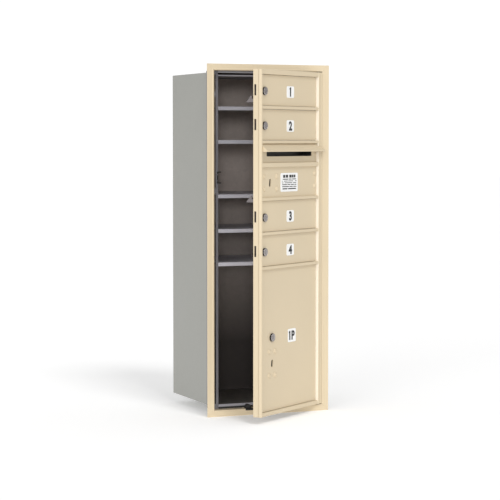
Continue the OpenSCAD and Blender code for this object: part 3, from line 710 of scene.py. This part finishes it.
class MAILBOX_OT_door_numbers(bpy.types.Operator):
    """Prints each door's number on its plate"""
    bl_idname = "mailbox.door_numbers"
    bl_label = "Door Numbers"

    def execute(self, context):
        labels = {f"number_plate_{n}": str(n) for n in LETTER_DOORS}
        labels["parcel_plate"] = "1P"
        for plate, text in labels.items():
            start_clear()
            bpy.ops.object.text_add()
            obj = bpy.context.active_object
            obj.data.body = text
            obj.data.align_x = "CENTER"
            obj.data.align_y = "CENTER"
            obj.data.size = sizes().digit_height / 0.72
            obj.data.offset = 1.5 * MM
            obj.data.extrude = sizes().ink_depth
            bpy.ops.object.convert(target="MESH")
            obj = bpy.context.active_object
            # convert leaves the glyph off centre, so its own box is centred
            low = Vector([min(v.co[i] for v in obj.data.vertices) for i in range(3)])
            high = Vector([max(v.co[i] for v in obj.data.vertices) for i in range(3)])
            obj.data.transform(Matrix.Translation(-(low + high) / 2))
            obj.data.transform(Matrix.Rotation(math.radians(90), 4, "X"))
            if text.startswith("1"):
                reach_left, top = (low.x - high.x) / 2, (high.y - low.y) / 2
                flag = bar((5.6, 2 * sizes().ink_depth / MM, 2.8), 0.1)
                flag.data.transform(Matrix.Rotation(math.radians(-38), 4, "Y"))
                moved(flag, (reach_left / MM + 0.2, 0, top / MM - 3.4))
                obj = joined([obj, flag])
            middle = centre(plate)
            point = middle + DOOR_IN * (reach(plate, DOOR_IN, furthest=False) - middle.dot(DOOR_IN))
            settle(obj, plate + "_digits", BODY_OF[plate], "black_parts", finish="ink", place=on_door(point))
        return {"FINISHED"}


class MAILBOX_OT_notice_print(bpy.types.Operator):
    """Prints plain ruled lines, and no words, on the notice plate"""
    bl_idname = "mailbox.notice_print"
    bl_label = "Notice Print"

    # each line of print: its height above the plate's middle, its thickness and the spans it fills
    LINES = [
        (16.0, 7.5, [(-32, -21), (-18, -6), (0, 12), (14, 22), (24, 32)]),
        (8.2, 2.4, [(-34, -6), (-3, 12), (15, 35)]),
        (3.2, 1.8, [(-38, -34), (-28, -8), (-5, 20), (30, 38)]),
        (-1.6, 1.8, [(-38, -30), (-24, 16), (20, 36)]),
        (-6.4, 2.2, [(-37, -12), (-9, 6), (9, 24), (27, 37)]),
        (-11.6, 2.2, [(-37, -2), (1, 18), (21, 37)]),
        (-17.4, 3.0, [(-35, -10), (-6, 35)]),
    ]

    def execute(self, context):
        ink = sizes().ink_depth / MM
        bars = []
        for height, thick, spans in self.LINES:
            for low, high in spans:
                stroke = bar((high - low, 2 * ink, thick), 0.12)
                bars.append(moved(stroke, ((low + high) / 2, 0, height)))
        middle = centre("notice_plate")
        point = middle + DOOR_IN * (reach("notice_plate", DOOR_IN, furthest=False) - middle.dot(DOOR_IN))
        settle(joined(bars), "notice_print", BODY_OF["notice_plate"], "black_parts", finish="ink",
               place=on_door(point))
        return {"FINISHED"}


class MAILBOX_OT_screws(bpy.types.Operator):
    """Drives cross-head screws into the strike plate and the lock cases"""
    bl_idname = "mailbox.screws"
    bl_label = "Screws"

    def screw(self):
        head = turned([(0.2, -1.0), (1.4, -1.05), (2.2, -0.8), (2.6, -0.3), (2.7, 0.1), (0.2, 0.1)], sides=32)
        cross = joined([bar((2.6, 1.4, 0.6), 0.08), bar((0.6, 1.4, 2.6), 0.08)])
        moved(cross, (0, -1.0, 0))
        cut = head.modifiers.new("cross", "BOOLEAN")
        cut.object = cross
        cut.solver = "EXACT"
        cut.use_self = True
        apply_modifiers(head)
        bpy.data.objects.remove(cross)
        return head

    def execute(self, context):
        pattern = self.screw()
        for name, node_name, place, offsets in self.places():
            heads = []
            for x, z in offsets:
                heads.append(moved(copy_of(pattern), (x, 0, z)))
            settle(joined(heads), name, BODY_OF[node_name], "zinc_steel", place=place)
        bpy.data.objects.remove(pattern)
        return {"FINISHED"}

    def places(self):
        low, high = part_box("strike_plate")
        strike = Vector(((low.x * 2 + high.x) / 3, low.y, (low.z + high.z) / 2))
        seat = in_cabinet(strike - Vector((0.6 * MM, 0, 0)))
        yield "strike_screws", "strike_plate", seat, [(0, -8), (0, 8)]
        case = centre("arrow_case")
        turn = Matrix.Rotation(math.radians(180), 4, "Z")
        back = case + DOOR_IN * (reach("arrow_case", DOOR_IN) - case.dot(DOOR_IN))
        corners = [(-18, -18), (18, -18), (-18, 18), (18, 18)]
        yield "case_screws", "arrow_case", on_door(back) @ turn, corners
        case = centre("parcel_arrow_case")
        back = case + DOOR_IN * (reach("parcel_arrow_case", DOOR_IN) - case.dot(DOOR_IN))
        corners = [(-12, -16), (12, -16), (-12, 16), (12, 16)]
        yield "parcel_case_screws", "parcel_arrow_case", on_door(back) @ turn, corners


class MAILBOX_OT_studio(bpy.types.Operator):
    """Lays the floor, hangs the soft lights and sets the camera"""
    bl_idname = "mailbox.studio"
    bl_label = "Studio"

    def execute(self, context):
        self.floor()
        self.lights()
        self.camera()
        return {"FINISHED"}

    def floor(self):
        start_clear()
        bpy.ops.mesh.primitive_plane_add(size=sizes().floor_span, location=(0, 0, CAD_BOX[0][2]))
        floor = bpy.context.active_object
        bpy.ops.object.transform_apply(location=True, rotation=True, scale=True)
        floor.name = "studio_floor"
        floor.data.materials.append(finish_for("floor"))

    def lights(self):
        world = bpy.data.worlds.new("studio")
        world.use_nodes = True
        tree = world.node_tree
        tree.nodes["Background"].inputs["Color"].default_value = (1, 1, 1, 1)
        # the backdrop is white to the eye, while the light it gives stays softer
        seen = node(tree, "LightPath").outputs["Is Camera Ray"]
        tree.links.new(span(tree, seen, 0, 1, 0.56, 1.05), tree.nodes["Background"].inputs["Strength"])
        bpy.context.scene.world = world
        # name, direction it comes from, spread in degrees, strength
        for name, source, spread, strength in (
                ("key", (0.05, -1.0, 1.1), 18, 0.95),
                ("fill", (-0.42, -1.0, 0.10), 8, 0.55),
                ("side", (-0.76, -0.65, 0.2), 36, 1.05)):
            start_clear()
            bpy.ops.object.light_add(type="SUN", location=Vector(source) * 3)
            light = bpy.context.active_object
            light.name = name
            light.data.angle = math.radians(spread)
            light.data.energy = strength
            light.rotation_euler = Vector(source).to_track_quat("Z", "Y").to_euler()

    def camera(self):
        start_clear()
        bpy.ops.object.camera_add(location=(-1.9935, -4.7385, 0.7199),
                                  rotation=(math.radians(90 - 3.41), 0, math.radians(-23.0)))
        camera = bpy.context.active_object
        camera.data.lens = sizes().lens
        camera.data.clip_end = 200
        bpy.context.scene.camera = camera
        bpy.context.scene.view_settings.view_transform = "Standard"


class MAILBOX_PT_panel(bpy.types.Panel):
    """Sizes, colours and steps of the cluster mailbox"""
    bl_idname = "MAILBOX_PT_panel"
    bl_label = "Cluster Mailbox"
    bl_space_type = "VIEW_3D"
    bl_region_type = "UI"
    bl_category = "Mailbox"

    def draw(self, context):
        layout = self.layout
        for settings in (sizes(), colours()):
            box = layout.box()
            for key in settings.__annotations__:
                box.prop(settings, key)
        column = layout.column(align=True)
        for step in STEPS:
            column.operator(step.bl_idname)


STEPS = (MAILBOX_OT_round_sheet_edges, MAILBOX_OT_lock_bodies, MAILBOX_OT_keyway_shutters,
         MAILBOX_OT_door_numbers, MAILBOX_OT_notice_print, MAILBOX_OT_screws, MAILBOX_OT_studio)
CLASSES = (MailboxSizes, MailboxColours, *STEPS, MAILBOX_PT_panel)


def register():
    for item in CLASSES:
        bpy.utils.register_class(item)
    bpy.types.Scene.mailbox_sizes = bpy.props.PointerProperty(type=MailboxSizes)
    bpy.types.Scene.mailbox_colours = bpy.props.PointerProperty(type=MailboxColours)


def unregister():
    del bpy.types.Scene.mailbox_colours
    del bpy.types.Scene.mailbox_sizes
    for item in reversed(CLASSES):
        bpy.utils.unregister_class(item)


def main():
    register()
    for step in STEPS:
        area, name = step.bl_idname.split(".")
        getattr(getattr(bpy.ops, area), name)()


if __name__ == "__main__":
    main()
